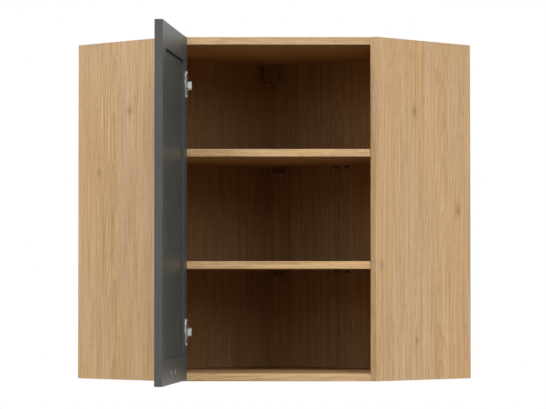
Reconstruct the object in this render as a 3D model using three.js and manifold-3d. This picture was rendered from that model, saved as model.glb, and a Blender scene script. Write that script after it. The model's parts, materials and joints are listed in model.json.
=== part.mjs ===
// Diagonal corner wall cabinet: oak-decor boards, two loose shelves and one framed door on concealed hinges.
// Millimetres, +Z up, front towards -Y. The origin lies on the underside, on the plane of symmetry,
// where the plan is widest: the two side panels meet the walls at x = +-WALL_RUN * cos 45, y = 0.
import * as THREE from 'three';
import { mergeVertices } from 'three/addons/utils/BufferGeometryUtils.js';
import Module from 'manifold-3d';

// ---- Carcass ----
const WALL_RUN = 600; // length along each wall, from the room corner
const SIDE_DEPTH = 300; // depth of a side panel, square to its wall
const CABINET_HEIGHT = 720;
const BOARD = 16; // thickness of every board
const ARRIS = 0.6; // softened edge of the edge banding
const SEAM = 0.3; // gap left between pieces that touch
const BACK_RECESS = 20; // free space between the walls and the back panels
const HARDBOARD = 3; // thickness of the left back panel
const GROOVE_DEPTH = 8; // grooves that hold the left back panel
const SHELF_COUNT = 2;
const SHELF_PLAY = 1; // gap round a loose shelf

// ---- Shelf supports ----
const PIN_FRONT_SETBACK = 37; // first pin behind the front edge of a side panel
const PIN_SPAN = 192; // distance between the two pins of a side panel
const PIN_RADIUS = 2.5;
const PIN_BURIED = 8;
const PIN_PEG_RADIUS = 3.5;
const PIN_PEG = 8;
const BACK_PIN_FIRST = 237; // first pin of the right back panel, from the room corner
const BACK_PIN_PITCH = 32;
const CORNER_SUPPORT_START = 28; // from the left back panel, along the right one
const CORNER_SUPPORT_WIDTH = 24;
const CORNER_SUPPORT_REACH = 16;
const CORNER_SUPPORT_HEIGHT = 12;
const CORNER_SUPPORT_WALL = 3;

// ---- Corner block under the top board ----
const BLOCK_WIDTH = 48;
const BLOCK_HEIGHT = 38;
const BLOCK_SCREW_PITCH = 24;
const BLOCK_SCREW_DROP = 26; // below the top board
const BLOCK_SCREW_LENGTH = 9;

// ---- Hangers at the rear top of the side panels ----
const HANGER_WIDTH = 20;
const HANGER_DEPTH = 42;
const HANGER_HEIGHT = 62;
const HANGER_DROP = 6; // below the top board
const HANGER_WALL = 2.5;
const HOOK_THICKNESS = 3;
const HOOK_WIDTH = 12;
const HOOK_LIP = 14;
const HOOK_TAIL = 48; // height of the hook's plate inside the housing
const HOOK_TOP_DROP = 12; // below the top board
const HOOK_WALL_GAP = 3; // left between the hook and the wall
const NOTCH_CLEARANCE = 2; // round the hook, in the back panels
const HANGER_SCREW_DROPS = [16, 38]; // below the top of the hook
const HANGER_SCREW_LENGTH = 9;

// ---- Door ----
const DOOR_SIDE_REVEAL = 7.132; // door edge inside the outer corners of the side panels
const DOOR_THICKNESS = 16;
const DOOR_REVEAL = 3; // door edge inside the top and bottom of the cabinet
const DOOR_STANDOFF = 3; // back of the closed door in front of the side panels' outer corners
const FRAME_WIDTH = 52;
const PANEL_THICKNESS = 6;
const PANEL_TONGUE = 8; // depth of the frame's groove
const DOOR_OPEN_DEG = 94.9;
const HINGE_EDGE_SHIFT_IN = 22.9; // travel of the hinge edge, closed to open
const HINGE_EDGE_SHIFT_OUT = 6.9;
const PLUG_RADIUS = 3.5;
const PLUG_HEAD_RADIUS = 4.5;
const PLUG_LENGTH = 9;
const PLUG_HEAD = 1;
const PLUG_TAPER = 0.7;
const PLUG_PITCH = 64;
const PLUG_RISE = 23; // above the door's lower edge

// ---- Hinges ----
const HINGE_END_DISTANCE = 100; // from each end of the door
const CUP_RADIUS = 17.5;
const CUP_DEPTH = 11.5;
const CUP_WALL = 0.8;
const CUP_EDGE = 4.5; // land between the cup and the door edge
const CUP_FACETS = 32;
const FLANGE_THICKNESS = 2;
const FLANGE_RIM = 2; // overlap of the flange round the cup
const FLANGE_MARGIN = 1.2; // round the heads of the cup screws
const CUP_SCREW_PITCH = 48;
const CUP_SCREW_OFFSET = 6; // from the cup's centre, towards the middle of the door
const CUP_SCREW_RADIUS = 1.7;
const CUP_SCREW_HEAD_RADIUS = 3.4;
const CUP_SCREW_LENGTH = 9;
const PLATE_SETBACK = 37; // plate screws behind the front edge of the side panel
const PLATE_SCREW_PITCH = 32;
const PLATE_SCREW_RADIUS = 2.5;
const PLATE_SCREW_HEAD_RADIUS = 4;
const PLATE_SCREW_LENGTH = 12;
const PLATE_THICKNESS = 2;
const PLATE_HEIGHT = 48;
const PLATE_LENGTH = 20;
const PLATE_CORNER = 7;
const RIDGE_FRONT = 18; // ridge of the plate, behind the front edge of the side panel
const RIDGE_LENGTH = 36;
const ARM_WIDTH = 16.4;
const ARM_WALL = 1.2;
const ARM_PLAY = 0.5; // between the arm and what runs in it, each side
const ARM_LIFT = 3.4; // underside of the arm above the side panel
const ARM_KNEE = -8; // where the underside starts to rise, in front of the side panel
const ARM_TAIL = 58; // end of the arm behind the front edge of the side panel
const ARM_TAIL_SLOPE = 4;
const ARM_SCREW_SETBACK = 47;
const NOSE_RADIUS = 3;
const FORK_LENGTH = 11; // open fork behind the arm's rod
const RIVET_RADIUS = 2.2;
const RIVET_HEAD = 0.4;
const ROD_RADIUS = 1.2; // rod across the cup, on which the link turns
const ROD_INSET = 9; // from the door edge
const ROD_DEPTH = 3.3; // below the back of the door
const LINK_LENGTH = 22; // between its two ends
const LINK_THICKNESS = 1.8;
const LINK_EYE_RADIUS = 2.5;
const LINK_EYE_WIDTH = 9; // narrower than the link, to clear the wall of the cup
const LINK_BARREL_RADIUS = 2.6;
const LINK_PLAY = 0.3; // round the rod
const LINK_RISE = 7; // out of the cup, from the rod to the first bend
const LINK_SHOULDER = 4; // the two bends lie this far apart, both ways

// ---- Screws ----
const SMALL_SCREW_RADIUS = 1.5;
const SMALL_HEAD_RADIUS = 3;
const SCREW_HEAD = 1.6;
const RECESS_REACH = 0.55; // share of the head's radius
const RECESS_WIDTH = 0.14;
const RECESS_DEPTH = 0.6; // share of the head's height

const FACETS = 16;
const COS45 = Math.SQRT1_2;
const LEFT = -1;
const RIGHT = 1;

const wasm = await Module();
wasm.setup();

// ---- Joining, cutting and placing ----
function solidOf(geometry) {
  const bare = geometry.clone();
  bare.deleteAttribute('normal');
  bare.deleteAttribute('uv');
  const merged = mergeVertices(bare, 1e-4);
  return new wasm.Manifold(new wasm.Mesh({
    numProp: 3,
    vertProperties: new Float32Array(merged.attributes.position.array),
    triVerts: new Uint32Array(merged.index.array),
  }));
}

function geometryOf(solid) {
  const mesh = solid.getMesh();
  const geometry = new THREE.BufferGeometry();
  geometry.setAttribute('position', new THREE.BufferAttribute(mesh.vertProperties, 3));
  geometry.setIndex(new THREE.BufferAttribute(mesh.triVerts, 1));
  const flat = geometry.toNonIndexed();
  flat.computeVertexNormals();
  return flat;
}

// The base with what is added joined to it first and what is removed cut from it after.
function carve(base, { add = [], remove = [] }) {
  let solid = solidOf(base);
  for (const geometry of add) solid = solid.add(solidOf(geometry));
  for (const geometry of remove) solid = solid.subtract(solidOf(geometry));
  return geometryOf(solid);
}

function shared(geometry, other) {
  return geometryOf(solidOf(geometry).intersect(solidOf(other)));
}

// A prism along Z over a closed plan outline.
function prism(outline, bottom, top) {
  const shape = outline instanceof THREE.Shape ? outline : new THREE.Shape(outline);
  return new THREE.ExtrudeGeometry(shape, {
    depth: top - bottom, bevelEnabled: false, curveSegments: FACETS / 2,
  }).translate(0, 0, bottom);
}

// The same prism with the edges round its upper and lower faces softened.
function board(outline, bottom, top) {
  return new THREE.ExtrudeGeometry(new THREE.Shape(outline), {
    depth: top - bottom - 2 * ARRIS, bevelEnabled: true, bevelSegments: 1,
    bevelThickness: ARRIS, bevelSize: ARRIS, bevelOffset: -ARRIS,
  }).translate(0, 0, bottom + ARRIS);
}

// A rectangle with its four corners softened, for upright boards.
function softRectangle(x0, x1, y0, y1) {
  const [left, right] = [Math.min(x0, x1), Math.max(x0, x1)];
  const [near, far] = [Math.min(y0, y1), Math.max(y0, y1)];
  return [
    [left + ARRIS, near], [right - ARRIS, near], [right, near + ARRIS], [right, far - ARRIS],
    [right - ARRIS, far], [left + ARRIS, far], [left, far - ARRIS], [left, near + ARRIS],
  ].map(([x, y]) => new THREE.Vector2(x, y));
}

function rectangle(x0, x1, y0, y1) {
  return [[x0, y0], [x1, y0], [x1, y1], [x0, y1]].map(([x, y]) => new THREE.Vector2(x, y));
}

function block(x0, x1, y0, y1, z0, z1) {
  return new THREE.BoxGeometry(Math.abs(x1 - x0), Math.abs(y1 - y0), Math.abs(z1 - z0))
    .translate((x0 + x1) / 2, (y0 + y1) / 2, (z0 + z1) / 2);
}

// A solid of revolution about the Y axis, from [radius, y] steps that rise from the lower end of the axis.
function turned(steps, segments = FACETS) {
  return new THREE.LatheGeometry(steps.map(([r, y]) => new THREE.Vector2(r, y)), segments);
}

// A round bar along Y between two depths, in either order.
function bore(x, z, radius, from, to, segments = FACETS) {
  const [y0, y1] = [Math.min(from, to), Math.max(from, to)];
  return turned([[0, y0], [radius, y0], [radius, y1], [0, y1]], segments).translate(x, 0, z);
}

// A round bar along Z.
function rod(place, radius, halfLength, z) {
  return bore(0, 0, radius, -halfLength, halfLength).rotateX(Math.PI / 2).translate(place.x, place.y, z);
}

function turn(point, degrees, centre) {
  return point.clone().rotateAround(centre, THREE.MathUtils.degToRad(degrees));
}

// ---- Plan of the cabinet ----
const roomCorner = new THREE.Vector2(0, WALL_RUN * COS45);
const frontCorner = side => new THREE.Vector2(
  side * (WALL_RUN - SIDE_DEPTH) * COS45, -SIDE_DEPTH * COS45);
const frontEdgeY = frontCorner(RIGHT).y + BOARD * COS45;
const innerTop = CABINET_HEIGHT - BOARD;
const compartment = (CABINET_HEIGHT - (SHELF_COUNT + 2) * BOARD) / (SHELF_COUNT + 1);
const shelfBottom = index => BOARD + compartment + index * (compartment + BOARD);
const sideName = side => (side === LEFT ? 'left' : 'right');
const levelName = index => (index === 0 ? 'lower' : 'upper');

// A side panel's frame runs back from its outer front corner, a wall's frame runs from the room corner.
// The inside of the cabinet lies on the side "inward" of the X axis of each frame.
function frame(origin, degrees) {
  const group = new THREE.Group();
  group.position.set(origin.x, origin.y, 0);
  group.rotation.z = THREE.MathUtils.degToRad(degrees);
  group.updateMatrix();
  return group;
}
const sideFrame = side => frame(frontCorner(side), side === RIGHT ? 45 : 135);
const sideInward = side => side;
const wallFrame = side => frame(roomCorner, side === RIGHT ? -45 : -135);
const wallInward = side => -side;

// Plan outline between the side panels; each gap is measured square to what it clears.
function plan(sideGap, leftWallGap, rightWallGap) {
  const edge = roomCorner.y - (BOARD + sideGap) / COS45;
  const cornerOf = (wallGap, side) => {
    const sum = roomCorner.y - wallGap / COS45;
    const x = (sum + edge) / 2;
    return new THREE.Vector2(side * x, sum - x);
  };
  const left = leftWallGap / COS45;
  const right = rightWallGap / COS45;
  return [
    new THREE.Vector2(-(frontEdgeY + edge), frontEdgeY),
    new THREE.Vector2(frontEdgeY + edge, frontEdgeY),
    cornerOf(rightWallGap, RIGHT),
    new THREE.Vector2((left - right) / 2, roomCorner.y - (left + right) / 2),
    cornerOf(leftWallGap, LEFT),
  ];
}

// ---- Materials ----
const finish = (color, roughness, metalness = 0) =>
  new THREE.MeshStandardMaterial({ color, roughness, metalness });
const oakBoard = finish(0xc8a373, 0.55);
const oakHardboard = finish(0xb98f5f, 0.6);
const graphiteDoor = finish(0x4a4b49, 0.5);
const nickel = finish(0xc9c9c6, 0.3, 1);
const zinc = finish(0xb4b6b8, 0.35, 1);
const blackSteel = finish(0x2b2a28, 0.45, 1);
const brownPlastic = finish(0x6b4a30, 0.5);
const greyPlastic = finish(0x9a9a95, 0.4);

const cabinet = new THREE.Group();

function addPart(parent, name, geometry, material) {
  const mesh = new THREE.Mesh(geometry, material);
  mesh.name = name;
  parent.add(mesh);
  return mesh;
}

function framed(group) {
  cabinet.add(group);
  return group;
}

// A cross-head screw along +Y: the underside of its head at y = 0, its recess facing -Y.
function crossScrew(length, headRadius = SMALL_HEAD_RADIUS, shankRadius = SMALL_SCREW_RADIUS) {
  const body = turned([
    [0, -SCREW_HEAD], [headRadius - SCREW_HEAD / 2, -SCREW_HEAD], [headRadius, -SCREW_HEAD / 2],
    [headRadius, 0], [shankRadius, 0], [shankRadius, length - shankRadius], [shankRadius / 2, length],
    [0, length],
  ]);
  const reach = headRadius * RECESS_REACH;
  const half = headRadius * RECESS_WIDTH;
  const floor = SCREW_HEAD * (RECESS_DEPTH - 1);
  return carve(body, {
    remove: [
      block(-reach, reach, -2 * SCREW_HEAD, floor, -half, half),
      block(-half, half, -2 * SCREW_HEAD, floor, -reach, reach),
    ],
  });
}

// ---- Floor, top and shelves ----
const hardboardBack = BACK_RECESS - HARDBOARD;
const backBoardFace = BACK_RECESS + BOARD;
const grooveBottom = BOARD - GROOVE_DEPTH - SEAM;
const grooveTop = innerTop + GROOVE_DEPTH + SEAM;

// The groove for the left back panel: one bar that cuts floor, top, left side and right back panel.
function hardboardGroove() {
  return block(backBoardFace - GROOVE_DEPTH - SEAM, WALL_RUN - BOARD + GROOVE_DEPTH + SEAM,
    hardboardBack - SEAM, BACK_RECESS + SEAM, grooveBottom, grooveTop)
    .applyMatrix4(wallFrame(LEFT).matrix);
}

function addFloorAndTop() {
  const outline = plan(SEAM, 0, 0);
  const levels = { bottom_board: 0, top_board: innerTop };
  for (const [name, z] of Object.entries(levels)) {
    const geometry = carve(board(outline, z, z + BOARD), { remove: [hardboardGroove()] });
    addPart(cabinet, name, geometry, oakBoard);
  }
}

function addShelves() {
  const outline = plan(SHELF_PLAY, BACK_RECESS + SHELF_PLAY, backBoardFace + SHELF_PLAY);
  for (let index = 0; index < SHELF_COUNT; index += 1) {
    const bottom = shelfBottom(index);
    addPart(cabinet, `${levelName(index)}_shelf`, board(outline, bottom, bottom + BOARD), oakBoard);
  }
}

// ---- Side panels, with the holes and the groove worked into their inner faces ----
const sidePinSetbacks = { front: PIN_FRONT_SETBACK, rear: PIN_FRONT_SETBACK + PIN_SPAN };
const pinHeight = index => shelfBottom(index) - SEAM - PIN_PEG_RADIUS;
const hingeHeights = {
  lower: DOOR_REVEAL + HINGE_END_DISTANCE,
  upper: CABINET_HEIGHT - DOOR_REVEAL - HINGE_END_DISTANCE,
};
const rises = pitch => ({ lower: -pitch / 2, upper: pitch / 2 });

function addSidePanel(side) {
  const inward = sideInward(side);
  const group = framed(sideFrame(side));
  const remove = [];
  const drill = (x, z, radius, depth) => {
    remove.push(bore(x, z, radius + SEAM, inward * (BOARD - depth - SEAM), inward * (BOARD + 1)));
  };
  for (let index = 0; index < SHELF_COUNT; index += 1) {
    for (const x of Object.values(sidePinSetbacks)) drill(x, pinHeight(index), PIN_RADIUS, PIN_BURIED);
  }
  if (side === LEFT) {
    for (const z of Object.values(hingeHeights)) {
      for (const rise of Object.values(rises(PLATE_SCREW_PITCH))) {
        drill(PLATE_SETBACK, z + rise, PLATE_SCREW_RADIUS, PLATE_SCREW_LENGTH - PLATE_THICKNESS - 2 * SEAM);
      }
    }
    remove.push(hardboardGroove().applyMatrix4(group.matrix.clone().invert()));
  }
  const panel = prism(softRectangle(0, SIDE_DEPTH, 0, inward * BOARD), 0, CABINET_HEIGHT);
  addPart(group, `${sideName(side)}_side_panel`, carve(panel, { remove }), oakBoard);
}

// ---- Back panels: thin hardboard in grooves on the left, a full board on the right ----
const hookHeight = innerTop - HOOK_TOP_DROP;
const hangerStart = WALL_RUN - BOARD - SEAM - HANGER_WIDTH;
const backPinPlaces = [BACK_PIN_FIRST, BACK_PIN_FIRST + BACK_PIN_PITCH];

// The notch that lets the hook of a hanger through, in the upper outer corner of a back panel.
function hookNotch(inward, face) {
  return block(hangerStart, WALL_RUN, inward * (hardboardBack - 1), inward * (face + 1),
    hookHeight - HOOK_LIP - NOTCH_CLEARANCE, CABINET_HEIGHT);
}

function addBackPanels() {
  const left = framed(wallFrame(LEFT));
  const leftIn = wallInward(LEFT);
  const hardboard = block(
    backBoardFace - GROOVE_DEPTH, WALL_RUN - BOARD + GROOVE_DEPTH,
    leftIn * hardboardBack, leftIn * BACK_RECESS, BOARD - GROOVE_DEPTH, innerTop + GROOVE_DEPTH);
  addPart(left, 'left_back_panel',
    carve(hardboard, { remove: [hookNotch(leftIn, BACK_RECESS)] }), oakHardboard);

  const right = framed(wallFrame(RIGHT));
  const rightIn = wallInward(RIGHT);
  const remove = [
    hookNotch(rightIn, backBoardFace), hardboardGroove().applyMatrix4(right.matrix.clone().invert()),
  ];
  for (let index = 0; index < SHELF_COUNT; index += 1) {
    for (const x of backPinPlaces) {
      remove.push(bore(x, pinHeight(index), PIN_RADIUS + SEAM,
        rightIn * (backBoardFace - PIN_BURIED - SEAM), rightIn * (backBoardFace + 1)));
    }
  }
  const fullBoard = block(
    hardboardBack - GROOVE_DEPTH, WALL_RUN - BOARD - SEAM,
    rightIn * BACK_RECESS, rightIn * backBoardFace, BOARD + SEAM, innerTop - SEAM);
  addPart(right, 'right_back_panel', carve(fullBoard, { remove }), oakBoard);
}

// ---- Shelf supports ----
// A shelf pin: a plug in the hole and a thicker peg under the shelf.
function shelfPin() {
  return turned([
    [0, -PIN_BURIED], [PIN_RADIUS, -PIN_BURIED], [PIN_RADIUS, SEAM], [PIN_PEG_RADIUS, SEAM],
    [PIN_PEG_RADIUS, PIN_PEG - 1], [PIN_PEG_RADIUS - 1, PIN_PEG], [0, PIN_PEG],
  ]);
}

function placePin(group, name, x, face, inward, z) {
  const pin = addPart(group, name, shelfPin(), brownPlastic);
  pin.position.set(x, inward * face, z);
  if (inward < 0) pin.rotation.z = Math.PI;
}

function addShelfSupports(index) {
  const level = levelName(index);
  const z = pinHeight(index);
  for (const side of [LEFT, RIGHT]) {
    const group = framed(sideFrame(side));
    for (const [place, x] of Object.entries(sidePinSetbacks)) {
      placePin(group, `${level}_shelf_pin_${sideName(side)}_${place}`, x, BOARD, sideInward(side), z);
    }
  }
  const right = framed(wallFrame(RIGHT));
  backPinPlaces.forEach((x, i) => {
    placePin(right, `${level}_shelf_pin_back_${i + 1}`, x, backBoardFace, wallInward(RIGHT), z);
  });
  addPart(right, `${level}_shelf_corner_support`, cornerSupport(shelfBottom(index) - SEAM), brownPlastic);
}

// A small bracket on the right back panel, hollow below, that the shelf's rear corner rests on.
function cornerSupport(top) {
  const inward = wallInward(RIGHT);
  const face = backBoardFace + SEAM;
  const x0 = BACK_RECESS + CORNER_SUPPORT_START;
  const x1 = x0 + CORNER_SUPPORT_WIDTH;
  const body = block(x0, x1, inward * face, inward * (face + CORNER_SUPPORT_REACH),
    top - CORNER_SUPPORT_HEIGHT, top);
  const hollow = block(
    x0 + CORNER_SUPPORT_WALL, x1 - CORNER_SUPPORT_WALL,
    inward * (face + CORNER_SUPPORT_WALL), inward * (face + CORNER_SUPPORT_REACH - CORNER_SUPPORT_WALL),
    top - 2 * CORNER_SUPPORT_HEIGHT, top - CORNER_SUPPORT_WALL);
  return carve(body, { remove: [hollow] });
}

// ---- Corner block: ties the top board and the two back panels together ----
function addCornerBlock() {
  const half = BLOCK_WIDTH / 2;
  const left = (BACK_RECESS + SEAM) / COS45;
  const right = (backBoardFace + SEAM) / COS45;
  const front = roomCorner.y - right - half;
  const outline = [
    new THREE.Vector2(-half, front), new THREE.Vector2(half, front),
    new THREE.Vector2((left - right) / 2, roomCorner.y - (left + right) / 2),
    new THREE.Vector2(-half, roomCorner.y - left - half),
  ];
  const top = innerTop - SEAM;
  const screwZ = innerTop - BLOCK_SCREW_DROP;
  const screwX = side => side * BLOCK_SCREW_PITCH / 2;
  const remove = [LEFT, RIGHT].map(side => bore(
    screwX(side), screwZ, SMALL_SCREW_RADIUS + SEAM, front - 1, front + BLOCK_SCREW_LENGTH + SEAM));
  addPart(cabinet, 'corner_block', carve(board(outline, top - BLOCK_HEIGHT, top), { remove }), oakBoard);
  for (const side of [LEFT, RIGHT]) {
    const name = `corner_block_screw_${sideName(side)}`;
    const screw = addPart(cabinet, name, crossScrew(BLOCK_SCREW_LENGTH), blackSteel);
    screw.position.set(screwX(side), front - SEAM, screwZ);
  }
}

// ---- Hangers: a housing on each side panel, a hook through the notch of the back panel, two screws ----
function addHanger(side) {
  const group = framed(wallFrame(side));
  const inward = wallInward(side);
  const back = (side === LEFT ? BACK_RECESS : backBoardFace) + SEAM;
  const front = back + HANGER_DEPTH;
  const top = innerTop - HANGER_DROP;
  const bottom = top - HANGER_HEIGHT;
  const end = hangerStart + HANGER_WIDTH;
  const middle = (hangerStart + end) / 2;
  const screwHeights = HANGER_SCREW_DROPS.map(drop => hookHeight - drop);
  const holes = screwHeights.map(z => bore(
    middle, z, SMALL_SCREW_RADIUS + SEAM, inward * (front - HANGER_SCREW_LENGTH), inward * (front + 1)));

  const housing = block(hangerStart, end, inward * back, inward * front, bottom, top);
  const hollow = block(hangerStart + HANGER_WALL, end - HANGER_WALL,
    inward * (back - 1), inward * (front - HANGER_WALL), bottom - 1, top - HANGER_WALL);
  addPart(group, `${sideName(side)}_hanger_housing`,
    carve(housing, { remove: [hollow, ...holes] }), brownPlastic);

  const half = HOOK_WIDTH / 2;
  const plateFront = front - HANGER_WALL - SEAM;
  const strip = (from, to, low) => block(
    middle - half, middle + half, inward * from, inward * to, low, hookHeight);
  const hook = carve(strip(HOOK_WALL_GAP, plateFront, hookHeight - HOOK_THICKNESS), {
    add: [
      strip(HOOK_WALL_GAP, HOOK_WALL_GAP + HOOK_THICKNESS, hookHeight - HOOK_LIP),
      strip(plateFront - HOOK_THICKNESS, plateFront, hookHeight - HOOK_TAIL),
    ],
    remove: holes,
  });
  addPart(group, `${sideName(side)}_hanger_hook`, hook, zinc);

  ['height', 'depth'].forEach((use, i) => {
    const name = `${sideName(side)}_hanger_${use}_screw`;
    const screw = addPart(group, name, crossScrew(HANGER_SCREW_LENGTH), zinc);
    screw.position.set(middle, inward * (front + SEAM), screwHeights[i]);
    if (inward > 0) screw.rotation.z = Math.PI;
  });
}

// ---- Door, modelled closed and then turned open about its axis ----
const doorBackY = frontCorner(RIGHT).y - DOOR_STANDOFF;
const doorFrontY = doorBackY - DOOR_THICKNESS;
const doorHalf = frontCorner(RIGHT).x - DOOR_SIDE_REVEAL;
const doorLeft = -doorHalf;
const doorBottom = DOOR_REVEAL;
const doorTop = CABINET_HEIGHT - DOOR_REVEAL;
const panelBackY = doorBackY - (DOOR_THICKNESS - PANEL_THICKNESS) / 2;
const panelFrontY = panelBackY - PANEL_THICKNESS;
const grooveReach = PANEL_TONGUE + SEAM;

// The axis is the centre of the turn that carries the closed hinge edge to its open place.
function openingAxis() {
  const travel = new THREE.Vector2(HINGE_EDGE_SHIFT_IN, -HINGE_EDGE_SHIFT_OUT);
  const middle = new THREE.Vector2(doorLeft, doorBackY).addScaledVector(travel, 0.5);
  const reach = travel.length() / 2 / Math.tan(THREE.MathUtils.degToRad(DOOR_OPEN_DEG / 2));
  return middle.addScaledVector(new THREE.Vector2(travel.y, -travel.x).normalize(), reach);
}
const axis = openingAxis();
const doorFrame = () => frame(turn(new THREE.Vector2(), -DOOR_OPEN_DEG, axis), -DOOR_OPEN_DEG);

function panelGroove(x0, x1, z0, z1) {
  return block(x0, x1, panelBackY + SEAM, panelFrontY - SEAM, z0, z1);
}

function addStile(door, side) {
  const outer = side * doorHalf;
  const inner = outer - side * FRAME_WIDTH;
  const remove = [panelGroove(inner + side * grooveReach, inner - side, 0, CABINET_HEIGHT)];
  if (side === LEFT) remove.push(...Object.values(hingeHeights).flatMap(hingePocket));
  const stile = prism(softRectangle(outer, inner, doorFrontY, doorBackY), doorBottom, doorTop);
  const name = side === LEFT ? 'door_hinge_stile' : 'door_free_stile';
  addPart(door, name, carve(stile, { remove }), graphiteDoor);
}

// A rail between the stiles, with a tongue at each end; "inside" points from it to the centre panel.
function addRail(door, name, outerZ, inside, plugHoles = []) {
  const innerZ = outerZ + inside * FRAME_WIDTH;
  const grooveZ = innerZ - inside * grooveReach;
  const reach = doorHalf - FRAME_WIDTH - SEAM;
  const rail = board(
    rectangle(-reach, reach, doorFrontY, doorBackY), Math.min(outerZ, innerZ), Math.max(outerZ, innerZ));
  const tongue = block(-reach - PANEL_TONGUE, reach + PANEL_TONGUE, panelBackY, panelFrontY,
    outerZ + inside * ARRIS, grooveZ);
  const groove = panelGroove(-doorHalf, doorHalf, grooveZ, innerZ + inside);
  addPart(door, name, carve(rail, { add: [tongue], remove: [groove, ...plugHoles] }), graphiteDoor);
}

const plugPlaces = [0, PLUG_PITCH];
const plugZ = doorBottom + PLUG_RISE;

function addDoor(door) {
  addStile(door, LEFT);
  addStile(door, RIGHT);
  addRail(door, 'door_top_rail', doorTop, -1);
  addRail(door, 'door_bottom_rail', doorBottom, 1, plugPlaces.map(x => bore(
    x, plugZ, PLUG_RADIUS + SEAM, doorBackY - PLUG_LENGTH - SEAM, doorBackY + 1)));
  const inset = FRAME_WIDTH - PANEL_TONGUE;
  const half = doorHalf - inset;
  addPart(door, 'door_centre_panel',
    block(-half, half, panelBackY, panelFrontY, doorBottom + inset, doorTop - inset), graphiteDoor);
  plugPlaces.forEach((x, i) => {
    const plug = addPart(door, `handle_hole_plug_${i + 1}`, handleHolePlug(), greyPlastic);
    plug.position.set(x, doorBackY, plugZ);
  });
}

function handleHolePlug() {
  return turned([
    [0, -PLUG_LENGTH], [PLUG_RADIUS, -PLUG_LENGTH], [PLUG_RADIUS, SEAM], [PLUG_HEAD_RADIUS, SEAM],
    [PLUG_HEAD_RADIUS - PLUG_TAPER, SEAM + PLUG_HEAD], [0, SEAM + PLUG_HEAD],
  ]);
}

// ---- Hinges ----
const cupX = doorLeft + CUP_EDGE + CUP_RADIUS;
const cupScrewX = cupX + CUP_SCREW_OFFSET;
const flangeBottomY = doorBackY + SEAM;
const flangeTopY = flangeBottomY + FLANGE_THICKNESS;
const cupRod = new THREE.Vector2(doorLeft + ROD_INSET, doorBackY - ROD_DEPTH);

// The arm's rod lies where the link reaches it with the door closed and with the door open.
function armRodPlace() {
  const spoke = cupRod.clone().sub(axis);
  const half = THREE.MathUtils.degToRad(DOOR_OPEN_DEG / 2);
  const sideways = spoke.length() * Math.sin(half);
  const along = spoke.length() * Math.cos(half) + Math.sqrt(LINK_LENGTH ** 2 - sideways ** 2);
  return spoke.rotateAround(new THREE.Vector2(), -half).setLength(along).add(axis);
}
const armRod = armRodPlace();

function hingePocket(z) {
  return [
    bore(cupX, z, CUP_RADIUS + SEAM, doorBackY - CUP_DEPTH - SEAM, doorBackY + 1, CUP_FACETS),
    ...Object.values(rises(CUP_SCREW_PITCH)).map(rise => bore(
      cupScrewX, z + rise, CUP_SCREW_RADIUS + SEAM, doorBackY - CUP_SCREW_LENGTH, doorBackY + 1)),
  ];
}

// The cup with its flange, one wing for each screw, and the rod that the link turns on.
function hingeCup() {
  const bottom = doorBackY - CUP_DEPTH;
  const mouth = CUP_RADIUS - CUP_WALL;
  const shell = turned([
    [0, bottom], [CUP_RADIUS, bottom], [CUP_RADIUS, flangeBottomY], [CUP_RADIUS + FLANGE_RIM, flangeBottomY],
    [CUP_RADIUS + FLANGE_RIM, flangeTopY], [0, flangeTopY],
  ], CUP_FACETS).translate(cupX, 0, 0);
  const screwRises = Object.values(rises(CUP_SCREW_PITCH));
  const open = carve(shell, {
    add: screwRises.map(flangeWing),
    remove: [
      bore(cupX, 0, mouth, bottom + CUP_WALL, flangeTopY + 1, CUP_FACETS),
      ...screwRises.map(rise => bore(
        cupScrewX, rise, CUP_SCREW_RADIUS + SEAM, flangeBottomY - 1, flangeTopY + 1)),
    ],
  });
  const midWall = bore(cupX, 0, CUP_RADIUS - CUP_WALL / 2, bottom, flangeTopY, CUP_FACETS);
  return carve(open, { add: [shared(rod(cupRod, ROD_RADIUS, CUP_RADIUS, 0), midWall)] });
}

// From the rim of the flange to a round end about the screw.
function flangeWing(rise) {
  const direction = Math.sign(rise);
  const end = CUP_SCREW_HEAD_RADIUS + FLANGE_MARGIN;
  const shape = new THREE.Shape();
  shape.moveTo(cupX - end, 0);
  shape.lineTo(cupX + CUP_RADIUS, 0);
  shape.lineTo(cupScrewX + end, rise);
  shape.absarc(cupScrewX, rise, end, 0, direction * Math.PI, direction < 0);
  shape.closePath();
  return prism(shape, 0, FLANGE_THICKNESS).rotateX(Math.PI / 2).translate(0, flangeTopY, 0);
}

// The link as it lies with the door open: from the eye on the cup's rod it rises out of the cup, bends
// back over the edge of the door and ends in the barrel between the cheeks of the arm.
function hingeLink() {
  const barrel = turn(armRod, DOOR_OPEN_DEG, axis);
  const half = armInner - ARM_PLAY;
  const route = [
    cupRod,
    new THREE.Vector2(cupRod.x, cupRod.y + LINK_RISE),
    new THREE.Vector2(cupRod.x - LINK_SHOULDER, cupRod.y + LINK_RISE + LINK_SHOULDER),
    barrel,
  ];
  return carve(prism(thickened(route, LINK_THICKNESS / 2), -half, half), {
    add: [
      rod(cupRod, LINK_EYE_RADIUS, LINK_EYE_WIDTH / 2, 0), rod(barrel, LINK_BARREL_RADIUS, half, 0),
    ],
    remove: [rod(cupRod, ROD_RADIUS + LINK_PLAY, ARM_WIDTH, 0)],
  });
}

// The outline of a bent strip of even thickness about a route.
function thickened(route, half) {
  const headings = route.slice(1).map((point, i) => point.clone().sub(route[i]).angle());
  const offset = (point, i, side) => {
    const before = headings[Math.max(i - 1, 0)];
    const after = headings[Math.min(i, headings.length - 1)];
    const bend = Math.atan2(Math.sin(after - before), Math.cos(after - before));
    const direction = before + bend / 2 + side * Math.PI / 2;
    const reach = half / Math.cos(bend / 2);
    return new THREE.Vector2(Math.cos(direction), Math.sin(direction)).multiplyScalar(reach).add(point);
  };
  const oneSide = route.map((point, i) => offset(point, i, LEFT));
  const otherSide = route.map((point, i) => offset(point, i, RIGHT));
  return [...oneSide, ...otherSide.reverse()];
}

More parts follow.
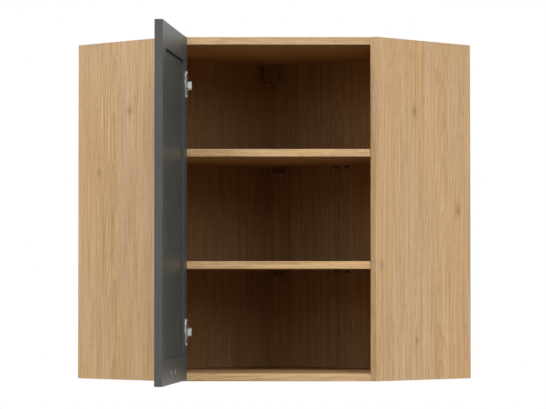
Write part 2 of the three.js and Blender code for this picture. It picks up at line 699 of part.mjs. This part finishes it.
// Places on the left side panel are given as depth behind its front edge and lift above its inner face.
const onPanel = lift => sideInward(LEFT) * (BOARD + lift);
const ontoPanel = (geometry, z) => geometry.rotateX(Math.PI).translate(0, onPanel(0), z);

function armRodOnPanel() {
  const local = new THREE.Vector3(armRod.x, armRod.y, 0).applyMatrix4(sideFrame(LEFT).matrix.invert());
  return new THREE.Vector2(local.x, sideInward(LEFT) * local.y - BOARD);
}
const nose = armRodOnPanel();
const armTop = nose.y + NOSE_RADIUS;
const armInner = ARM_WIDTH / 2 - ARM_WALL;
const plateTop = SEAM + PLATE_THICKNESS;
const ridgeTop = armTop - ARM_WALL - SEAM;

// The arm: a channel open towards the panel, forked at the nose, with the heads of the rod on its cheeks.
function hingeArm() {
  const knee = new THREE.Vector2(ARM_KNEE, ARM_LIFT);
  const toKnee = knee.clone().sub(nose);
  const tangent = Math.atan2(toKnee.y, toKnee.x) - Math.acos(NOSE_RADIUS / toKnee.length());
  const shape = new THREE.Shape();
  shape.moveTo(ARM_TAIL, ARM_LIFT);
  shape.lineTo(knee.x, knee.y);
  shape.lineTo(nose.x + NOSE_RADIUS * Math.cos(tangent), nose.y + NOSE_RADIUS * Math.sin(tangent));
  shape.absarc(nose.x, nose.y, NOSE_RADIUS, tangent, Math.PI / 2, true);
  shape.lineTo(ARM_TAIL - ARM_TAIL_SLOPE, armTop);
  shape.lineTo(ARM_TAIL, armTop - ARM_TAIL_SLOPE);
  shape.closePath();
  const front = nose.x - 2 * NOSE_RADIUS;
  return carve(prism(shape, -ARM_WIDTH / 2, ARM_WIDTH / 2), {
    add: [rod(nose, RIVET_RADIUS, ARM_WIDTH / 2 + RIVET_HEAD, 0)],
    remove: [
      block(front, 2 * ARM_TAIL, 0, armTop - ARM_WALL, -armInner, armInner),
      block(front, nose.x + FORK_LENGTH, 0, 2 * armTop, -armInner, armInner),
      bore(ARM_SCREW_SETBACK, 0, SMALL_SCREW_RADIUS + SEAM, 0, 2 * armTop),
    ],
  });
}

// The mounting plate: a flat base with round corners and the ridge that carries the arm.
function mountingPlate() {
  const x0 = PLATE_SETBACK - PLATE_LENGTH / 2;
  const half = PLATE_HEIGHT / 2;
  const [inner, outer] = [x0 + PLATE_CORNER, x0 + PLATE_LENGTH - PLATE_CORNER];
  const shape = new THREE.Shape();
  shape.absarc(outer, half - PLATE_CORNER, PLATE_CORNER, 0, Math.PI / 2);
  shape.absarc(inner, half - PLATE_CORNER, PLATE_CORNER, Math.PI / 2, Math.PI);
  shape.absarc(inner, PLATE_CORNER - half, PLATE_CORNER, Math.PI, Math.PI * 1.5);
  shape.absarc(outer, PLATE_CORNER - half, PLATE_CORNER, Math.PI * 1.5, Math.PI * 2);
  const base = prism(shape, 0, PLATE_THICKNESS).rotateX(Math.PI / 2).translate(0, plateTop, 0);
  const ridgeHalf = armInner - ARM_PLAY;
  const ridge = block(RIDGE_FRONT, RIDGE_FRONT + RIDGE_LENGTH, SEAM, ridgeTop, -ridgeHalf, ridgeHalf);
  return carve(base, {
    add: [ridge],
    remove: [
      bore(ARM_SCREW_SETBACK, 0, SMALL_SCREW_RADIUS + SEAM, plateTop, 2 * ridgeTop),
      ...Object.values(rises(PLATE_SCREW_PITCH)).map(rise => bore(
        PLATE_SETBACK, rise, PLATE_SCREW_RADIUS + SEAM, 0, 2 * plateTop)),
    ],
  });
}

function addHinge(door, level, z) {
  addPart(door, `${level}_hinge_cup`, hingeCup().translate(0, 0, z), nickel);
  addPart(door, `${level}_hinge_link`, hingeLink().translate(0, 0, z), nickel);
  for (const [place, rise] of Object.entries(rises(CUP_SCREW_PITCH))) {
    const screw = addPart(door, `${level}_hinge_cup_screw_${place}`,
      crossScrew(CUP_SCREW_LENGTH, CUP_SCREW_HEAD_RADIUS, CUP_SCREW_RADIUS), nickel);
    screw.rotation.z = Math.PI;
    screw.position.set(cupScrewX, flangeTopY + SEAM, z + rise);
  }
  const panel = framed(sideFrame(LEFT));
  addPart(panel, `${level}_hinge_arm`, ontoPanel(hingeArm(), z), nickel);
  addPart(panel, `${level}_hinge_plate`, ontoPanel(mountingPlate(), z), nickel);
  for (const [place, rise] of Object.entries(rises(PLATE_SCREW_PITCH))) {
    const screw = addPart(panel, `${level}_hinge_plate_screw_${place}`,
      crossScrew(PLATE_SCREW_LENGTH, PLATE_SCREW_HEAD_RADIUS, PLATE_SCREW_RADIUS), nickel);
    screw.position.set(PLATE_SETBACK, onPanel(plateTop + SEAM), z + rise);
  }
  const armScrew = addPart(panel, `${level}_hinge_arm_screw`, crossScrew(ridgeTop - plateTop), nickel);
  armScrew.position.set(ARM_SCREW_SETBACK, onPanel(armTop + SEAM), z);
}

// ---- The whole cabinet ----
addFloorAndTop();
addShelves();
for (const side of [LEFT, RIGHT]) addSidePanel(side);
addBackPanels();
for (let index = 0; index < SHELF_COUNT; index += 1) addShelfSupports(index);
addCornerBlock();
for (const side of [LEFT, RIGHT]) addHanger(side);
const door = framed(doorFrame());
addDoor(door);
for (const [level, z] of Object.entries(hingeHeights)) addHinge(door, level, z);

export default cabinet;
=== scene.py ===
import json
import math

import bpy
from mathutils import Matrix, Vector

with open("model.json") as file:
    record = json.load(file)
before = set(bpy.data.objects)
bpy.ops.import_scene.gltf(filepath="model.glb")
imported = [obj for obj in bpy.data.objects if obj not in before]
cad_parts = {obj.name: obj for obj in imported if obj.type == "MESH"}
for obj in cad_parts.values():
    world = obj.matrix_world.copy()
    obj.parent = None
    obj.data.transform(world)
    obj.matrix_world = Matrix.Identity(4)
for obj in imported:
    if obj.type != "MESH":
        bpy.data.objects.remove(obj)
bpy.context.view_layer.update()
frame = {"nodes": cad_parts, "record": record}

# A diagonal corner wall cabinet: boards with a printed oak decor, a framed graphite door standing open,
# nickel plated concealed hinges. Lengths are metres; the sizes of patterns are given in millimetres.

# ---- Camera: where the photograph was taken from, in front of the cabinet and looking slightly up ----
CAMERA_PLACE = (-0.0009, -6.0808, 0.1920)
CAMERA_RISE = math.radians(1.7255)
CAMERA_YAW = math.radians(0.0195)
SENSOR = 36.0
LENS = 185.49

camera_data = bpy.data.cameras.new("camera")
camera_data.sensor_width = SENSOR
camera_data.lens = LENS
camera = bpy.data.objects.new("camera", camera_data)
camera.location = CAMERA_PLACE
camera.rotation_euler = (math.radians(90) + CAMERA_RISE, 0, CAMERA_YAW)
bpy.context.scene.collection.objects.link(camera)
bpy.context.scene.camera = camera

# ---- Nodes and colours ----
# Sockets of a Mix node for colours: its factor, its two colours and what comes out
FACTOR, FIRST, SECOND, MIXED = 0, 6, 7, 2
RELIEF_DEPTH = 0.0002  # of all pressed, moulded and grown relief


def linear(hex_colour):
    """The linear colour of an sRGB hex value."""
    channels = [int(hex_colour[i:i + 2], 16) / 255 for i in (1, 3, 5)]
    return tuple(c / 12.92 if c <= 0.04045 else ((c + 0.055) / 1.055) ** 2.4 for c in channels) + (1.0,)


def per(millimetres):
    """How often a pattern of this size repeats in a metre."""
    return 1000 / millimetres


def add(tree, kind, inputs, stops=(), **settings):
    """A new node with its settings, and with values or links on its inputs.

    A ramp also gets its stops, each a position and an sRGB hex colour or a grey."""
    made = tree.nodes.new(kind)
    for key, value in settings.items():
        setattr(made, key, value)
    for socket, value in inputs.items():
        if isinstance(value, bpy.types.NodeSocket):
            tree.links.new(value, made.inputs[socket])
        else:
            made.inputs[socket].default_value = value
    for place, (position, value) in enumerate(stops):
        if place == len(made.color_ramp.elements):
            made.color_ramp.elements.new(1.0)
        element = made.color_ramp.elements[place]
        element.position = position
        element.color = linear(value) if isinstance(value, str) else (value, value, value, 1.0)
    return made


def new_material(name, **shader_inputs):
    """A material with a Principled shader; returns it with its tree and shader."""
    material = bpy.data.materials.new(name)
    material.use_nodes = True
    tree = material.node_tree
    tree.nodes.clear()
    inputs = {socket.replace("_", " "): value for socket, value in shader_inputs.items()}
    shader = add(tree, "ShaderNodeBsdfPrincipled", inputs)
    add(tree, "ShaderNodeOutputMaterial", {"Surface": shader.outputs[0]})
    return material, tree, shader


# ---- Oak decor: paper printed with oak grain, pressed on chipboard under matt melamine ----
# The melamine is so matt that the print shows without a sheen; the pores are pressed in as shallow pits.
# Pores and threads are finer on the real board and are drawn 2 to 3 mm wide, so that they show.
RING = 3.6  # mm, width of a growth ring
WAVE_RINGS = 20 / math.tau  # rings that the wave texture draws in a metre at scale 1
TRUNK_LEAN = math.radians(2.0)  # the trunk leans against the board, so its rings open into arches
TRUNK_SKEW = math.radians(0.4)
BROAD_WANDER = 0.026  # how far the rings wander in long waves
CLOSE_WANDER = 0.0020  # and in short ones
KNOT_REACH = (0.010, 0.040, 0.024)  # half width, depth and half height of what a small knot disturbs
KNOT_BULGE = (0.0, -0.012, 0.0)  # how far it pushes the rings
DENSE_WOOD = (0.86, 1.0, 1.22)  # powers of a shade in red, green and blue: darker grain is warmer
SIDE_TONE = "#FFFFFF"  # the print as it is
INSIDE_PAINTED_SHADE = "#F1EADE"  # painted shade: the other boards, which stand inside the cabinet, are darkened and warmed a little against the side panels
SIDE_FACE = -0.300  # places of the faces after the turn of their wing
LEFT_BACK_FACE = 0.280
RIGHT_BACK_FACE = 0.264

# Edges have a banding of their own, and those that face the walls are left as raw chipboard.
EDGE_TONE = (1.02, 1.02, 0.95, 1.0)  # the banding is printed a little brighter and yellower
TOP_EDGE_PAINTED_SHADE = (0.90, 0.90, 0.87, 1.0)  # but that of the top board is darkened by painted shade, against the fuller light that falls on the top edge
BANDING_STREAK = 5  # mm
BANDING_STRETCH = 9  # a streak's length as a multiple of its width
FLAKE = 2.5  # mm, width of a wood flake in the chipboard
EDGE_BELOW = 0.5  # a surface is an edge where less of its normal than this lies along the thickness
REAR_ABOVE = 0.3  # and faces a wall where more of it than this points towards the room corner


def near_knots(tree, faced, knots):
    """From 0 on plain grain to 1 at the heart of a knot.

    Faced is the place in the turned board, and a knot is its place across and up that board and its size."""
    nearest = 0.0
    for across, up, size in knots:
        heart = (across, SIDE_FACE, up)
        reach = [size * length for length in KNOT_REACH]
        away = add(tree, "ShaderNodeVectorMath", {0: faced, 1: heart}, operation="SUBTRACT")
        share = add(tree, "ShaderNodeVectorMath", {0: away.outputs[0], 1: reach}, operation="DIVIDE")
        far = add(tree, "ShaderNodeVectorMath", {0: share.outputs[0]}, operation="LENGTH")
        near = add(tree, "ShaderNodeMath", {0: 1.0, 1: far.outputs["Value"]},
                   operation="SUBTRACT", use_clamp=True)
        nearest = add(tree, "ShaderNodeMath", {0: near.outputs[0], 1: nearest},
                      operation="MAXIMUM").outputs[0]
    # The sum gives a socket also on a board that has no knots.
    return add(tree, "ShaderNodeMath", {0: nearest, 1: 0.0}, operation="ADD").outputs[0]


def grain(tree, board, print_place, knot):
    """The colour of the print and the height of its pores.

    The grain runs along Z past the trunk's centre at 0, and print_place moves the board along the print."""
    print_shift = (print_place, 2 * print_place, 3 * print_place)

    def patches(millimetres, stretch, detail, roughness):
        """Outputs of a noise with lumps of this width, drawn out along the grain."""
        drawn_out = add(tree, "ShaderNodeMapping", {
            "Vector": board, "Location": print_shift, "Scale": (1, 1, 1 / stretch)}).outputs[0]
        return add(tree, "ShaderNodeTexNoise", {
            "Vector": drawn_out, "Scale": per(millimetres), "Detail": detail, "Roughness": roughness}).outputs

    rings_at = add(tree, "ShaderNodeMapping", {
        "Vector": board, "Rotation": (TRUNK_LEAN, TRUNK_SKEW, 0)}).outputs[0]
    rings_at = add(tree, "ShaderNodeVectorMath", {0: knot, 1: KNOT_BULGE, 2: rings_at},
                   operation="MULTIPLY_ADD").outputs[0]
    broad_waves = patches(60, stretch=6, detail=2, roughness=0.5)["Color"]
    close_waves = patches(9, stretch=12, detail=3, roughness=0.5)["Color"]
    for waves, wander in ((broad_waves, BROAD_WANDER), (close_waves, CLOSE_WANDER)):
        rings_at = add(tree, "ShaderNodeVectorMath", {0: waves, 1: (wander, wander, 0.0), 2: rings_at},
                       operation="MULTIPLY_ADD").outputs[0]
    rings = add(tree, "ShaderNodeTexWave", {"Vector": rings_at, "Scale": per(RING) / WAVE_RINGS},
                wave_type="RINGS", rings_direction="Z", wave_profile="SAW").outputs["Fac"]

    bands = patches(30, stretch=18, detail=3, roughness=0.6)["Fac"]
    golden = add(tree, "ShaderNodeValToRGB", {"Fac": bands},
                 stops=[(0.34, "#C29E71"), (0.5, "#C7A378"), (0.66, "#CBA87D")]).outputs[0]
    greyish = add(tree, "ShaderNodeValToRGB", {"Fac": bands},
                  stops=[(0.34, "#BF9F79"), (0.5, "#C4A480"), (0.66, "#C8A986")]).outputs[0]
    tint = add(tree, "ShaderNodeValToRGB", {"Fac": patches(64, stretch=12, detail=2, roughness=0.5)["Fac"]},
               stops=[(0.35, 0.0), (0.65, 1.0)]).outputs[0]
    colour = add(tree, "ShaderNodeMix", {FACTOR: tint, FIRST: golden, SECOND: greyish},
                 data_type="RGBA").outputs[MIXED]

    threads = patches(2.6, stretch=90, detail=1, roughness=0.5)["Fac"]
    streaks = patches(3.0, stretch=20, detail=2, roughness=0.6)["Fac"]
    pores = patches(2.0, stretch=12, detail=1, roughness=0.6)["Fac"]
    pits = add(tree, "ShaderNodeValToRGB", {"Fac": pores}, stops=[(0.3, 0.8), (0.42, 1.0)]).outputs[0]
    shades = [
        (rings, [(0.0, 1.03), (0.6, 1.0), (0.97, 0.87), (1.0, 1.0)]),
        (threads, [(0.3, 0.81), (0.5, 1.0), (0.7, 1.13)]),
        (streaks, [(0.3, 0.91), (0.5, 1.0), (0.7, 1.07)]),
        (knot, [(0.0, 1.0), (0.3, 0.97), (0.6, 0.88), (0.82, 0.75), (0.9, 0.52), (1.0, 0.4)]),
    ]
    shade = pits
    for part, stops in shades:
        more = add(tree, "ShaderNodeValToRGB", {"Fac": part}, stops=stops).outputs[0]
        shade = add(tree, "ShaderNodeMath", {0: shade, 1: more}, operation="MULTIPLY").outputs[0]
    warmed = add(tree, "ShaderNodeVectorMath", {0: shade, 1: DENSE_WOOD}, operation="POWER").outputs[0]
    colour = add(tree, "ShaderNodeMix", {FACTOR: 1.0, FIRST: colour, SECOND: warmed},
                 data_type="RGBA", blend_type="MULTIPLY").outputs[MIXED]
    return colour, pits


def edge_finish(tree, at, turn, thickness, edge_tone, print_colour, face_colour):
    """The face's colour, with banding in a livelier print on the edges and chipboard on the rear ones."""
    normal = add(tree, "ShaderNodeNewGeometry", {}).outputs["True Normal"]
    turned = add(tree, "ShaderNodeMapping", {"Vector": normal, "Rotation": (0, 0, turn)},
                 vector_type="VECTOR").outputs[0]
    along_thickness = add(tree, "ShaderNodeSeparateXYZ", {"Vector": turned}).outputs[thickness]
    slant = add(tree, "ShaderNodeMath", {0: along_thickness}, operation="ABSOLUTE").outputs[0]
    edge = add(tree, "ShaderNodeMath", {0: slant, 1: EDGE_BELOW}, operation="LESS_THAN").outputs[0]
    towards_wall = add(tree, "ShaderNodeSeparateXYZ", {"Vector": normal}).outputs["Y"]
    rear = add(tree, "ShaderNodeMath", {0: towards_wall, 1: REAR_ABOVE}, operation="GREATER_THAN").outputs[0]
    raw = add(tree, "ShaderNodeMath", {0: edge, 1: rear}, operation="MULTIPLY").outputs[0]

    squeeze = (1 / BANDING_STRETCH, 1, 1) if thickness == "Z" else (1, 1, 1 / BANDING_STRETCH)
    drawn_out = add(tree, "ShaderNodeMapping", {"Vector": at, "Scale": squeeze}).outputs[0]
    streaks = add(tree, "ShaderNodeTexNoise", {
        "Vector": drawn_out, "Scale": per(BANDING_STREAK), "Detail": 2.0, "Roughness": 0.6}).outputs["Fac"]
    lively = add(tree, "ShaderNodeValToRGB", {"Fac": streaks},
                 stops=[(0.3, 0.84), (0.42, 1.0), (0.6, 1.02), (0.75, 1.07)]).outputs[0]
    banding = print_colour
    for tone in (edge_tone, lively):
        banding = add(tree, "ShaderNodeMix", {FACTOR: 1.0, FIRST: banding, SECOND: tone},
                      data_type="RGBA", blend_type="MULTIPLY").outputs[MIXED]
    flakes = add(tree, "ShaderNodeTexVoronoi", {"Vector": at, "Scale": per(FLAKE), "Randomness": 1.0})
    chipboard = add(tree, "ShaderNodeValToRGB", {"Fac": flakes.outputs["Color"]},
                    stops=[(0.1, "#8F7350"), (0.5, "#B2946C"), (0.9, "#CDB48C")]).outputs[0]
    colour = face_colour
    for share, finish in ((edge, banding), (raw, chipboard)):
        colour = add(tree, "ShaderNodeMix", {FACTOR: share, FIRST: colour, SECOND: finish},
                     data_type="RGBA").outputs[MIXED]
    return colour


def oak_decor(name, turn, lie, trunk, print_place, tone=INSIDE_PAINTED_SHADE, knots=(), edge_tone=EDGE_TONE):
    """The decor of one board: matt, with grain that opens into arches.

    Turn brings an upright board's faces to face along Y, and lie the grain onto Z. Trunk is where the
    centre of the trunk lay in the turned board."""
    material, tree, shader = new_material(name, Roughness=0.58, Specular_IOR_Level=0.06)
    at = add(tree, "ShaderNodeTexCoord", {}).outputs["Object"]
    faced = add(tree, "ShaderNodeMapping", {"Vector": at, "Rotation": (0, 0, turn)}).outputs[0]
    centred = add(tree, "ShaderNodeVectorMath", {0: faced, 1: trunk}, operation="SUBTRACT").outputs[0]
    board = add(tree, "ShaderNodeMapping", {"Vector": centred, "Rotation": lie}).outputs[0]
    print_colour, pits = grain(tree, board, print_place, near_knots(tree, faced, knots))
    # The tone is painted shade on the boards inside the cabinet; on the side panels it leaves the print as it
    # is.
    face_colour = add(tree, "ShaderNodeMix", {FACTOR: 1.0, FIRST: print_colour, SECOND: linear(tone)},
                      data_type="RGBA", blend_type="MULTIPLY").outputs[MIXED]
    thickness = "Y" if lie == UPRIGHT else "Z"
    colour = edge_finish(tree, at, turn, thickness, edge_tone, print_colour, face_colour)
    tree.links.new(colour, shader.inputs["Base Color"])
    relief = add(tree, "ShaderNodeBump", {"Height": pits, "Strength": 0.15, "Distance": RELIEF_DEPTH})
    tree.links.new(relief.outputs[0], shader.inputs["Normal"])
    return material


# ---- Corner block: a block of beech, darkened by painted shade to go with the shaded decor around it ----
FIBRE = 1.6  # mm; real ones are finer and wouldn't show
FIBRE_STRETCH = 12  # a fibre's length as a multiple of its width


def beech_with_painted_shade():
    """Straight, fine grain along X, darkened with painted shade."""
    material, tree, shader = new_material("beech_with_painted_shade", Roughness=0.6, Specular_IOR_Level=0.2)
    at = add(tree, "ShaderNodeTexCoord", {}).outputs["Object"]
    drawn_out = add(tree, "ShaderNodeMapping", {"Vector": at, "Scale": (1 / FIBRE_STRETCH, 1, 1)}).outputs[0]
    fibres = add(tree, "ShaderNodeTexNoise", {
        "Vector": drawn_out, "Scale": per(FIBRE), "Detail": 3.0, "Roughness": 0.6}).outputs["Fac"]
    # painted shade: a deep brown keeps the block, which faces the light, as dark as the shaded walls beside
    # it
    colour = add(tree, "ShaderNodeValToRGB", {"Fac": fibres},
                 stops=[(0.3, "#765736"), (0.5, "#8A6942"), (0.7, "#97744D")])
    tree.links.new(colour.outputs[0], shader.inputs["Base Color"])
    relief = add(tree, "ShaderNodeBump", {"Height": fibres, "Strength": 0.2, "Distance": RELIEF_DEPTH})
    tree.links.new(relief.outputs[0], shader.inputs["Normal"])
    return material


# ---- Door: MDF frame and panel wrapped in a matt graphite foil ----
FOIL_CLOUD = 60  # mm
FOIL_GRIT = 1.2  # mm; coarser than the real grit, so that it shows from near
FOIL_ROUGHNESS = 0.42
# the colour of the painted shadow under the door's top rail
PAINTED_SHADOW_COLOUR = "#050505"


def graphite_foil(name, painted_shadow_from=None):
    """Barely clouded dark grey with the fine grit of an embossed foil.

    Above the height that the second argument gives, where it is given, a near-black, matt strip is painted
    on: the shadow of the rail above it."""
    material, tree, shader = new_material(name, Roughness=FOIL_ROUGHNESS, Specular_IOR_Level=0.33)
    at = add(tree, "ShaderNodeTexCoord", {}).outputs["Object"]
    cloud = add(tree, "ShaderNodeTexNoise", {"Vector": at, "Scale": per(FOIL_CLOUD), "Detail": 3.0})
    colour = add(tree, "ShaderNodeValToRGB", {"Fac": cloud.outputs["Fac"]},
                 stops=[(0.35, "#3F4240"), (0.65, "#444745")]).outputs[0]
    # painted shadow: above the given height the panel is near black and matt
    if painted_shadow_from is not None:
        height = add(tree, "ShaderNodeSeparateXYZ", {"Vector": at}).outputs["Z"]
        painted_shadow = add(tree, "ShaderNodeMath", {0: height, 1: painted_shadow_from}, operation="GREATER_THAN").outputs[0]
        colour = add(tree, "ShaderNodeMix", {FACTOR: painted_shadow, FIRST: colour, SECOND: linear(PAINTED_SHADOW_COLOUR)},
                     data_type="RGBA").outputs[MIXED]
        gloss = add(tree, "ShaderNodeMix", {"Factor": painted_shadow, "A": FOIL_ROUGHNESS, "B": 1.0})
        tree.links.new(gloss.outputs["Result"], shader.inputs["Roughness"])
    tree.links.new(colour, shader.inputs["Base Color"])
    grit = add(tree, "ShaderNodeTexNoise", {"Vector": at, "Scale": per(FOIL_GRIT), "Detail": 2.0})
    relief = add(tree, "ShaderNodeBump", {
        "Height": grit.outputs["Fac"], "Strength": 0.08, "Distance": RELIEF_DEPTH})
    tree.links.new(relief.outputs[0], shader.inputs["Normal"])
    return material


# ---- Fittings: plated steel and moulded plastic ----
PLATING_CLOUD = 8  # mm
UNEVEN_GLOSS = 0.06  # how far the roughness of a plating strays
MOULD_GRIT = 0.8  # mm; coarser than the real grit, so that it shows from near


def plated_steel(name, colour, roughness):
    """Pressed steel under a plating, its gloss a little uneven."""
    material, tree, shader = new_material(
        name, Metallic=1.0, Roughness=roughness, Base_Color=linear(colour))
    at = add(tree, "ShaderNodeTexCoord", {}).outputs["Object"]
    cloud = add(tree, "ShaderNodeTexNoise", {"Vector": at, "Scale": per(PLATING_CLOUD), "Detail": 3.0})
    gloss = add(tree, "ShaderNodeValToRGB", {"Fac": cloud.outputs["Fac"]},
                stops=[(0.3, roughness - UNEVEN_GLOSS), (0.7, roughness + UNEVEN_GLOSS)])
    tree.links.new(gloss.outputs[0], shader.inputs["Roughness"])
    return material


def moulded_plastic(name, colour):
    """Plain moulded plastic, half matt with the faint grit of its mould."""
    material, tree, shader = new_material(name, Roughness=0.45, Base_Color=linear(colour))
    at = add(tree, "ShaderNodeTexCoord", {}).outputs["Object"]
    grit = add(tree, "ShaderNodeTexNoise", {"Vector": at, "Scale": per(MOULD_GRIT), "Detail": 2.0})
    relief = add(tree, "ShaderNodeBump", {
        "Height": grit.outputs["Fac"], "Strength": 0.1, "Distance": RELIEF_DEPTH})
    tree.links.new(relief.outputs[0], shader.inputs["Normal"])
    return material


# ---- The finish of every piece ----
def wear(node_name, material):
    """Gives a CAD node its material."""
    mesh = frame["nodes"][node_name].data
    mesh.materials.clear()
    mesh.materials.append(material)


finishes = {
    "graphite_door": graphite_foil("matt_graphite_foil"),
    "nickel_steel": plated_steel("nickel_plated_steel", "#A3A3A1", 0.5),  # a soft, faintly warm shine
    "zinc_steel": plated_steel("zinc_plated_steel", "#B4B6B8", 0.38),  # paler, cooler and glossier
    "black_steel": plated_steel("blackened_steel", "#2B2420", 0.5),  # nearly black, with a dull gleam
    "brown_plastic": moulded_plastic("brown_moulded_plastic", "#6B4A30"),
    "grey_plastic": moulded_plastic("grey_moulded_plastic", "#8E8E8A"),
}
for subpart in frame["record"]["subparts"]:
    if subpart["material_slot"] in finishes:
        wear(subpart["node"], finishes[subpart["material_slot"]])

UPRIGHT = (0.0, 0.0, 0.0)
LENGTHWISE = (0.0, math.radians(90), 0.0)  # brings the X axis onto the grain
LEFT_WING = math.radians(45)  # brings the outer face of the left side panel to face -Y
RIGHT_WING = math.radians(-45)
# Place across, height and size of each knot, about where the photograph has them
LEFT_KNOTS = [(-0.232, 0.441, 0.9), (-0.135, 0.570, 1.5)]
RIGHT_KNOTS = [(0.119, 0.568, 1.4), (0.258, 0.361, 1.6), (0.019, 0.243, 1.0), (0.126, 0.084, 1.2)]
# How far behind the face the trunk's centre lay sets how wide the arches of the grain are.
boards = {
    "left_side_panel": dict(
        turn=LEFT_WING, lie=UPRIGHT, trunk=(-0.17, SIDE_FACE + 0.07, 0.2), print_place=0.0,
        tone=SIDE_TONE, knots=LEFT_KNOTS),
    "right_side_panel": dict(
        turn=RIGHT_WING, lie=UPRIGHT, trunk=(0.22, SIDE_FACE + 0.07, 0.1), print_place=1.7,
        tone=SIDE_TONE, knots=RIGHT_KNOTS),
    "left_back_panel": dict(
        turn=RIGHT_WING, lie=UPRIGHT, trunk=(0.02, LEFT_BACK_FACE + 0.09, 0.4), print_place=2.9),
    "right_back_panel": dict(
        turn=LEFT_WING, lie=UPRIGHT, trunk=(-0.05, RIGHT_BACK_FACE + 0.12, 0.3), print_place=4.3),
    # the top board's edge carries painted shade
    "top_board": dict(
        turn=0.0, lie=LENGTHWISE, trunk=(0.3, 0.05, 0.80), print_place=4.4, edge_tone=TOP_EDGE_PAINTED_SHADE),
    "bottom_board": dict(turn=0.0, lie=LENGTHWISE, trunk=(0.1, 0.02, -0.07), print_place=6.7),
    "lower_shelf": dict(turn=0.0, lie=LENGTHWISE, trunk=(-0.2, -0.03, 0.33), print_place=7.9),
    "upper_shelf": dict(turn=0.0, lie=LENGTHWISE, trunk=(0.2, 0.06, 0.56), print_place=9.2),
}
for board_name, cut in boards.items():
    wear(board_name, oak_decor(f"oak_decor_{board_name}", **cut))
wear("corner_block", beech_with_painted_shade())

# A painted shadow: a near-black line across the top of the centre panel, where the top rail shades it.
PAINTED_SHADOW_HEIGHT = 0.0034
top_rail = frame["nodes"]["door_top_rail"]
rail_underside = min((top_rail.matrix_world @ Vector(corner)).z for corner in top_rail.bound_box)
wear("door_centre_panel", graphite_foil("graphite_foil_with_painted_shadow", painted_shadow_from=rail_underside - PAINTED_SHADOW_HEIGHT))

light_brown = moulded_plastic("light_brown_moulded_plastic", "#8A6A46")
for level in ("lower", "upper"):
    wear(f"{level}_shelf_corner_support", light_brown)

# ---- Studio: a pale floor well below the cabinet, a white room and four soft lamps ----
FLOOR_Z = -0.25
FLOOR_HALF = 3.0
ROOM_WHITE = (1.0, 1.0, 1.0, 1.0)
CABINET_MIDDLE = Vector((0.0, 0.0, 0.36))


def seen_directly(tree):
    """1 where the camera looks, straight, by a reflection or through glass, and 0 for the light itself."""
    path = add(tree, "ShaderNodeLightPath", {}).outputs
    seen = path["Is Camera Ray"]
    for way in ("Is Glossy Ray", "Is Transmission Ray"):
        seen = add(tree, "ShaderNodeMath", {0: seen, 1: path[way]}, operation="MAXIMUM").outputs[0]
    return seen


floor_mesh = bpy.data.meshes.new("studio_floor")
corners = [(side * FLOOR_HALF, depth * FLOOR_HALF, FLOOR_Z)
           for side, depth in ((-1, -1), (1, -1), (1, 1), (-1, 1))]
floor_mesh.from_pydata(corners, [], [(0, 1, 2, 3)])
floor = bpy.data.objects.new("studio_floor", floor_mesh)
bpy.context.scene.collection.objects.link(floor)

# White paint to the camera and dark to the light, so that little light comes up from the floor.
floor_material, floor_tree, floor_shader = new_material("white_floor_paint", Roughness=0.8)
floor_colour = add(floor_tree, "ShaderNodeMix", {
    FACTOR: seen_directly(floor_tree), FIRST: linear("#2A2118"), SECOND: linear("#F4F4F2")},
    data_type="RGBA")
floor_tree.links.new(floor_colour.outputs[MIXED], floor_shader.inputs["Base Color"])
floor_mesh.materials.append(floor_material)

world = bpy.data.worlds.new("white_room")
world.use_nodes = True
bpy.context.scene.world = world
world_tree = world.node_tree
world_tree.nodes.clear()
# The room is bright above eye level and dark below, so the shelves are lit from above only.
direction = add(world_tree, "ShaderNodeTexCoord", {}).outputs["Generated"]
rise = add(world_tree, "ShaderNodeSeparateXYZ", {"Vector": direction}).outputs["Z"]
room_light = add(world_tree, "ShaderNodeValToRGB", {"Fac": rise},
                 stops=[(0.03, 0.0), (0.16, 0.95), (0.34, 0.9), (0.5, 0.55), (1.0, 0.4)])
strength = add(world_tree, "ShaderNodeMix", {
    FACTOR: seen_directly(world_tree), FIRST: room_light.outputs[0], SECOND: ROOM_WHITE}, data_type="RGBA")
background = add(world_tree, "ShaderNodeBackground", {"Color": strength.outputs[MIXED], "Strength": 1.0})
add(world_tree, "ShaderNodeOutputWorld", {"Surface": background.outputs[0]})


def softbox(name, place, width, height, watts):
    """A rectangular soft lamp that is aimed at the middle of the cabinet."""
    lamp = bpy.data.lights.new(name, "AREA")
    lamp.shape = "RECTANGLE"
    lamp.size = width
    lamp.size_y = height
    lamp.energy = watts
    holder = bpy.data.objects.new(name, lamp)
    holder.location = place
    holder.rotation_euler = (CABINET_MIDDLE - Vector(place)).to_track_quat("-Z", "Y").to_euler()
    bpy.context.scene.collection.objects.link(holder)


softbox("front_softbox", (-0.4, -12.0, 9.4), width=18.0, height=3.2, watts=2020)
softbox("low_softbox", (0.0, -12.0, 4.1), width=16.0, height=4.2, watts=170)
softbox("left_softbox", (-12.0, -2.4, 2.0), width=3.5, height=3.5, watts=350)
softbox("right_softbox", (11.3, -4.8, 4.6), width=3.5, height=3.5, watts=360)

bpy.context.scene.view_settings.view_transform = "Standard"
